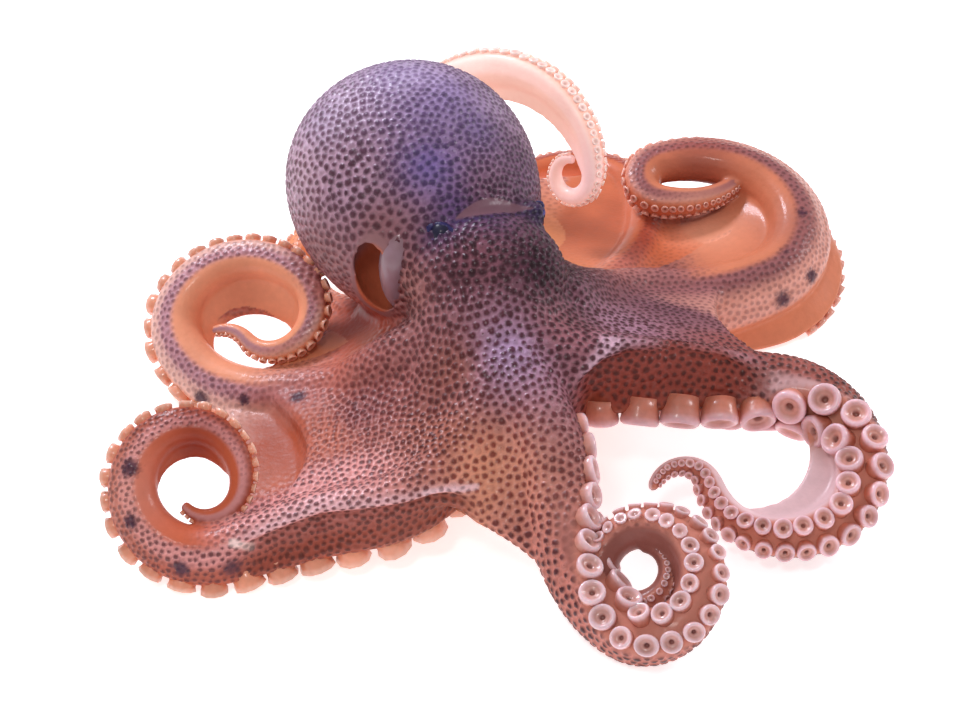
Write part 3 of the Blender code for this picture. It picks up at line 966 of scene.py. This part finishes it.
def noise(place, millimetres, detail=2.0):
    """Noise with features of this size, 0 to 1."""
    return place.node("ShaderNodeTexNoise", {}, {
        "Vector": place, "Scale": 0.6 / (millimetres * MM), "Detail": detail})


def plug(shader, **inputs):
    """Set or link the shader's own sockets."""
    tree_ = shader.id_data
    for key, value in inputs.items():
        socket = shader.inputs[key.replace("_", " ")]
        if isinstance(value, Value):
            tree_.links.new(value.socket, socket)
        else:
            socket.default_value = value


skin_paint, shader, place = material("skin")
mottle = noise(place, 6.0)
fleck = noise(place, 1.1)
grain = noise(place, 0.45, 1.0)
ragged = attribute(place, "spot", 2) + (fleck - 0.5) * 0.9
inked = ragged.fade(1.42, 0.52)
pale = attribute(place, "ground", 0).brighten(0.86 + mottle * 0.28)
pale = pale.brighten(1.0 + attribute(place, "net", 2) * 0.40 + (fleck - 0.5) * 0.16)
colour = pale.mix(inked, attribute(place, "ink", 0))
bump = place.node("ShaderNodeBump", {}, {
    "Strength": 0.45, "Distance": 0.0002,
    "Height": grain * 0.7 + fleck * 0.6 + attribute(place, "dome", 2) * 2.6})
plug(shader, Base_Color=colour, Roughness=0.30 + fleck * 0.24, Normal=bump,
     Coat_Weight=attribute(place, "wet", 2) * 0.20, Coat_Roughness=0.13, Specular_IOR_Level=0.18,
     Emission_Color=attribute(place, "painted_glow", 0), Emission_Strength=1.0)
skin.data.materials.clear()
skin.data.materials.append(skin_paint)

# The skin is cut across into pieces; each cut is closed, hidden inside the next piece. The
# free ends of the arms come off first, then the body is cut from front to back.
ARM_CUTS = (("front_left", 92.0), ("left", 78.0), ("rear", 112.0), ("front_right", 78.0),
            ("front", 62.0), ("right", 126.0))
BODY_CUTS = (-37.0, -14.0, 12.0, 42.0)
SMALL = 3000                          # faces; anything smaller stays with its neighbour


def cut_line(mesh, faces, point, across, whole_way):
    """Cut these faces by a plane and part the skin there, at the nearest loop or at all."""
    geometry = set(faces)
    for f in faces:
        geometry.update(f.edges)
        geometry.update(f.verts)
    made = bmesh.ops.bisect_plane(mesh, geom=list(geometry), dist=1e-4,
                                  plane_co=point, plane_no=across)
    line = {e for e in made["geom_cut"] if isinstance(e, bmesh.types.BMEdge)}
    loops = []
    while line:
        start = line.pop()
        loop, front = [start], list(start.verts)
        while front:
            v = front.pop()
            for e in v.link_edges:
                if e in line:
                    line.remove(e)
                    loop.append(e)
                    front.append(e.other_vert(v))
        ends = {}
        for e in loop:
            for v in e.verts:
                ends[v] = ends.get(v, 0) + 1
        if all(n == 2 for n in ends.values()):
            middle = sum((v.co for v in ends), Vector()) / len(ends)
            loops.append(((middle - point).length, loop))
    loops.sort(key=lambda pair: pair[0])
    for _, loop in loops if whole_way else loops[:1]:
        bmesh.ops.split_edges(mesh, edges=loop)


def largest_island(mesh):
    """Faces of the largest connected part."""
    left, best = set(mesh.faces), []
    while len(left) > len(best):
        face = left.pop()
        island, front = [face], [face]
        while front:
            for e in front.pop().edges:
                for f in e.link_faces:
                    if f in left:
                        left.remove(f)
                        island.append(f)
                        front.append(f)
        if len(island) > len(best):
            best = island
    return best


mesh = bmesh.new()
mesh.from_mesh(skin.data)
for name, distance in ARM_CUTS:
    arm = arms[name]
    i = arm.index(distance)
    run = (arm.points[i + 1] - arm.points[i - 1]).normalized()
    reach = arm.radius[i] * 2.6
    near = [f for f in mesh.faces if (f.verts[0].co - arm.points[i]).length < reach]
    cut_line(mesh, near, arm.points[i], run, False)
body_faces = largest_island(mesh)
for x in BODY_CUTS:
    inside = [f for f in body_faces if f.is_valid and abs(f.verts[0].co.x - x) < 2.0]
    cut_line(mesh, inside, Vector((x, 0.0, 20.0)), Vector((1.0, 0.0, 0.0)), True)
rims = [e for e in mesh.edges if e.is_boundary]
closed = bmesh.ops.holes_fill(mesh, edges=rims, sides=0)
bmesh.ops.triangulate(mesh, faces=closed["faces"])
mesh.to_mesh(skin.data)
mesh.free()
skin.data.transform(TO_FRAME)
only(skin)
bpy.ops.object.mode_set(mode="EDIT")
bpy.ops.mesh.separate(type="LOOSE")
bpy.ops.object.mode_set(mode="OBJECT")
pieces = sorted(bpy.context.selected_objects, key=lambda o: -len(o.data.polygons))


def middle_of(obj):
    return sum((Vector(c) for c in obj.bound_box), Vector()) / 8


big = [o for o in pieces if len(o.data.polygons) >= SMALL]
for small in pieces[len(big):]:
    if len(small.data.polygons) < 40:
        bpy.data.objects.remove(small, do_unlink=True)
        continue
    home = min(big, key=lambda o: (middle_of(o) - middle_of(small)).length)
    join([home, small], home.name)
pieces = big
for number, piece in enumerate(pieces):
    piece.name = "skin_%d" % number
    lay = read(piece.data, piece.data.attributes["lay"].data)
    piece.data.attributes.remove(piece.data.attributes["lay"])
    only(piece)
    bpy.ops.object.shade_smooth()
    piece.data.normals_split_custom_set_from_vertices(lay.astype(float).tolist())
    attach(piece, "root")
    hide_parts("octopus")
    print("PIECE", piece.name, len(piece.data.polygons), sum(len(p.vertices) - 2 for p in piece.data.polygons), [round(v * 1000) for v in piece.bound_box[0]],
          [round(v * 1000) for v in piece.bound_box[6]])

# ------------------------------------------------------------------ suckers
# Two staggered rows of soft cups down the underside of each arm, largest at a third of its
# length: orange walls, a pale pink rim, a dished face and a hole in the middle painted dark as its
# shade.
# profile of a cup: radius, height (in rim radii), share of rim colour, of face, of the hole's painted
# shade
CUP_FINE = (
    (0.88, -0.60, 0.0, 0.0, 0.0), (0.94, 0.00, 0.0, 0.0, 0.0), (1.00, 0.38, 0.15, 0.0, 0.0),
    (1.03, 0.62, 0.6, 0.0, 0.0), (0.98, 0.80, 1.0, 0.0, 0.0), (0.86, 0.88, 1.0, 0.0, 0.0),
    (0.70, 0.80, 0.8, 0.3, 0.0), (0.54, 0.62, 0.2, 1.0, 0.0), (0.38, 0.58, 0.2, 1.0, 0.0),
    (0.24, 0.56, 0.0, 1.0, 0.35), (0.19, 0.30, 0.0, 0.2, 1.0),
)
CUP_PLAIN = (
    (0.92, -0.55, 0.0, 0.0, 0.0), (0.90, 0.42, 0.2, 0.0, 0.0), (1.00, 0.76, 1.0, 0.0, 0.0),
    (0.82, 0.84, 0.9, 0.2, 0.0), (0.34, 0.56, 0.1, 1.0, 0.3),
)
FINE_SIDES = 20
PLAIN_SIDES = 10
FINE_FROM = 2.1                       # cups of this radius and more, on the two front arms
# radius of a cup, as a share of the arm's, by distance along the arm
CUP_RADIUS = ((0, 0.44), (25, 0.54), (70, 0.54), (110, 0.47), (250, 0.40))
CUP_SCALE = {"front_left": 1.05, "left": 0.95, "rear_left": 0.8, "rear": 0.7, "rear_right": 0.8,
             "right": 0.6, "front_right": 0.98, "front": 0.78}
CUP_OUT = 0.84
CUP_SIDE = 0.46
CUP_SPLAY = math.radians(24.0)
CUP_ROOM = 2.0                        # least distance between cups of a row, in cup radii
LOBE_CUP = 1.9                        # radius of the cups along the edge of a lobe
# the cups' painted glow, as a share of their arm's
CUP_PAINTED_GLOW = 0.5                        # how much less the cups glow than the arm
CUPS_FROM = 14.0
# wall, rim, face, hole (its darkness painted shade)
CUP_COLOURS = {
    "front_left": ((226, 138, 102), (242, 190, 168), (214, 136, 108), (130, 66, 52)),
    "left": ((222, 140, 104), (238, 184, 162), (210, 138, 110), (130, 70, 56)),
    "rear_left": ((232, 160, 124), (242, 196, 176), (222, 156, 130), (150, 86, 70)),
    "rear": ((244, 200, 184), (250, 222, 214), (240, 196, 184), (200, 150, 140)),
    "rear_right": ((226, 146, 112), (240, 186, 166), (214, 144, 120), (140, 78, 64)),
    "right": ((216, 136, 108), (236, 184, 170), (204, 134, 116), (130, 70, 60)),
    "front_right": ((202, 120, 96), (236, 192, 200), (208, 144, 130), (156, 92, 80)),
    "front": ((206, 132, 112), (238, 202, 208), (214, 156, 146), (160, 98, 90)),
}


def cup(profile, sides):
    """One cup as a lathe makes it: points, faces and the colour shares of its points."""
    points, faces, shares = [], [], []
    for r, z, *share_ in profile:
        for k in range(sides):
            a = 2 * math.pi * k / sides
            points.append((r * math.cos(a), r * math.sin(a), z))
            shares.append(share_)
    for j in range(len(profile) - 1):
        for k in range(sides):
            n = (k + 1) % sides
            faces.append((j * sides + k, j * sides + n, (j + 1) * sides + n, (j + 1) * sides + k))
    foot, pit = len(points), len(points) + 1
    points += [(0, 0, profile[0][1]), (0, 0, profile[-1][1] - 0.06)]
    shares += [profile[0][2:], (0.0, 0.0, 1.0)]
    last = (len(profile) - 1) * sides
    for k in range(sides):
        n = (k + 1) % sides
        faces.append((foot, n, k))
        faces.append((last + k, last + n, pit))
    return np.array(points), faces, np.array(shares, float)


cup_paint, shader, place = material("sucker")
fleck = noise(place, 0.9)
flesh = attribute(place, "ground", 0).brighten(0.86 + fleck * 0.28)
bump = place.node("ShaderNodeBump", {}, {
    "Strength": 0.25, "Distance": 0.0002, "Height": noise(place, 0.5, 1.0)})
plug(shader, Base_Color=flesh, Roughness=0.26 + fleck * 0.2, Normal=bump, Coat_Weight=0.4,
     Coat_Roughness=0.12, Subsurface_Weight=0.25, Subsurface_Scale=0.0012,
     Subsurface_Radius=(1.0, 0.45, 0.3), Emission_Color=attribute(place, "painted_glow", 0),
     Emission_Strength=1.0)



def seats(arm):
    """The cups' seats on an arm: distance, place, radius, and which way they face."""
    lobe = next(((a, b, -wide, drop) for n, a, b, wide, drop in FLANGES
                 if n == arm.name and wide < 0), None)
    for side in (-1, 1):
        gone = CUPS_FROM + (0.0 if side < 0 else 0.5 * arm.radius[0])
        last = None
        while gone < arm.length - 1.2:
            i = arm.index(gone)
            r = arm.radius[i] * ramp(CUP_RADIUS, gone) * CUP_SCALE[arm.name]
            oral, across = arm.oral[i], arm.across[i] * side
            seat = arm.at(gone) + (oral * CUP_OUT + across * CUP_SIDE) * arm.radius[i]
            splay = CUP_SPLAY + rng.uniform(-0.12, 0.12)
            up = oral * math.cos(splay) + across * math.sin(splay)
            if lobe and lobe[0] - 6 < gone < lobe[1]:
                start, end, wide, drop = lobe
                if side < 0 or gone < start + 0.4 * (end - start):
                    gone += 1.0
                    continue
                s = (gone - start) / (end - start)
                reach = wide * math.sin(math.pi * min(1.0, s * 0.94 + 0.06)) ** 0.5
                r = LOBE_CUP
                seat = arm.at(gone) + arm.outside[i] * reach - Vector((0.0, 0.0, drop))
                up = arm.outside[i] * 0.9 - Vector((0.0, 0.0, 0.45))
            if last is None or (seat - last).length >= r * CUP_ROOM:
                last = seat
                yield gone, seat, r, up
            gone += 0.15


fine_cup = cup(CUP_FINE, FINE_SIDES)
plain_cup = cup(CUP_PLAIN, PLAIN_SIDES)
for name, arm in arms.items():
    points, faces, tints = [], [], []
    base = 0
    palette = np.array([linear(c) for c in CUP_COLOURS[name]])
    for gone, seat, r, up in seats(arm):
        k = min(int(gone / arm.step), len(arm.points) - 2)
        up += (arm.points[k + 1] - arm.points[k]).normalized() * rng.uniform(-0.12, 0.12)
        fine = r > FINE_FROM and name in ("front_right", "front")
        shape, sides, shares = fine_cup if fine else plain_cup
        lay = up.to_track_quat("Z", "Y").to_matrix() @ Matrix.Rotation(
            rng.uniform(0, math.pi), 3, "Z")
        squash = np.array((rng.uniform(0.88, 1.04), rng.uniform(0.88, 1.04),
                           rng.uniform(0.9, 1.1))) * r
        placed = (shape * squash) @ np.array(lay).T + np.array(seat)
        placed[:, 2] = np.maximum(placed[:, 2], TABLE_Z)
        points.append(placed)
        faces += [tuple(v + base for v in f) for f in sides]
        base += len(shape)
        wall, rim, face, hole_shade = palette
        tint = np.repeat(wall[None, :], len(shape), axis=0)
        tint = blend(tint, rim[None, :], shares[:, 0])
        tint = blend(tint, face[None, :], shares[:, 1])
        # the hole is darkened as painted shade
        tint = blend(tint, hole_shade[None, :], shares[:, 2])
        tints.append(tint * rng.uniform(0.9, 1.08))
    data = bpy.data.meshes.new("suckers_" + name)
    data.from_pydata(np.concatenate(points).tolist(), [], faces)
    store(data, "ground", "FLOAT_COLOR", np.clip(np.concatenate(tints), 0, 1))
    data.transform(TO_FRAME)
    # the cups carry a share of their arm's painted glow
    painted_glow = CUP_PAINTED_GLOW * ARMS[name].get("painted_glow", 0.0) * np.concatenate(tints)
    store(data, "painted_glow", "FLOAT_COLOR", np.clip(painted_glow, 0, 1))
    data.materials.append(cup_paint)
    cups = bpy.data.objects.new("suckers_" + name, data)
    scene.collection.objects.link(cups)
    only(cups)
    bpy.ops.object.shade_smooth()
    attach(cups, "root")
    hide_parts("octopus")
    print("CUPS", name, len(points), len(faces))

# ------------------------------------------------------------------ eyes
# Two blue-black wet eyes set in the bumps of the head, each in a puckered dark lid with
# a painted highlight along its lower part.
LID_TUBE = 0.75
eye_paint, shader, place = material("eye")
deep = attribute(place, "ground", 0).brighten(0.8 + noise(place, 1.2) * 0.5)
plug(shader, Base_Color=deep, Roughness=0.32 + noise(place, 0.7) * 0.3, Coat_Weight=0.2,
     Coat_Roughness=0.16, Specular_IOR_Level=0.25)
EYE_OUT = (0.7, -0.5)
EYE_INK = (20, 16, 44)
LID_DARK = (34, 26, 78)
LID_HIGHLIGHT = (92, 80, 150)
for number, (at, outward) in enumerate(zip(EYES_AT, EYES_OUT)):
    out = Vector(outward).normalized()
    eye = ball("eye_%d" % number, (0, 0, 0), (EYE_RADIUS * 0.92,) * 3)
    tint = np.repeat(linear(EYE_INK)[None, :], len(eye.data.vertices), axis=0)
    store(eye.data, "ground", "FLOAT_COLOR", tint)
    ring, radii = [], []
    for k in range(25):
        a = 2 * math.pi * k / 24
        wave = 1.0 + 0.10 * math.sin(3 * a + number) + 0.05 * math.sin(7 * a)
        ring.append(Vector((math.cos(a) * wave * 0.80, math.sin(a) * wave * 0.62, 0.50)) * EYE_RADIUS)
        radii.append(LID_TUBE * (1.0 + 0.25 * math.sin(5 * a)))
    lid = tube("lid", ring, radii, 3)
    lid_co = read(lid.data, lid.data.vertices, "co")
    # painted highlight: the lower part of the lid is paler
    lower_highlight = smooth(-0.8, -2.6, lid_co[:, 1])
    tint = blend(np.repeat(linear(LID_DARK)[None, :], len(lid_co), axis=0),
                 linear(LID_HIGHLIGHT)[None, :], lower_highlight)
    store(lid.data, "ground", "FLOAT_COLOR", tint)
    eye = join([eye, lid], "eye_%d" % number)
    turn_out = out.to_track_quat("Z", "Y").to_matrix().to_4x4()
    eye.data.transform(TO_FRAME @ Matrix.Translation(Vector(at) + out * EYE_OUT[number]) @ turn_out)
    eye.data.materials.clear()
    eye.data.materials.append(eye_paint)
    only(eye)
    bpy.ops.object.shade_smooth()
    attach(eye, "root")
    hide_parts("octopus")

# ------------------------------------------------------------------ funnel
# The pale bluish siphon that shows in the slit beside the head: a soft tapering pipe.
FUNNEL = (((-17.6, 21.0, 60.0), 3.4), ((-21.9, 14.9, 55.2), 3.8), ((-23.5, 12.2, 50.2), 4.0),
          ((-23.7, 12.0, 45.0), 3.9), ((-23.2, 13.0, 39.8), 3.5), ((-22.0, 16.5, 34.0), 3.0))
funnel_line = through([p for p, r in FUNNEL], 6)
funnel_radii = [ramp([(j, r) for j, (p, r) in enumerate(FUNNEL)], k / 6)
                for k in range(len(funnel_line))]
funnel = tube("funnel", funnel_line, funnel_radii, 8)
funnel.data.transform(TO_FRAME)
funnel_paint, shader, place = material("funnel")
cloud = noise(place, 3.0)
tone = place.node("ShaderNodeMix", {"data_type": "RGBA"}, {
    "Factor": cloud, 6: (*linear((124, 84, 86)), 1.0), 7: (*linear((158, 126, 140)), 1.0)}, 2)
plug(shader, Base_Color=tone, Roughness=0.28 + cloud * 0.2, Coat_Weight=0.4,
     Coat_Roughness=0.12)
funnel.data.materials.clear()
funnel.data.materials.append(funnel_paint)
only(funnel)
bpy.ops.object.shade_smooth()
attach(funnel, "root")
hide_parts("octopus")

# ------------------------------------------------------------------ sizes and finish
low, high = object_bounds()
sizes = {"cad": [list(cad_low), list(cad_high)], "visual": [list(low), list(high)]}
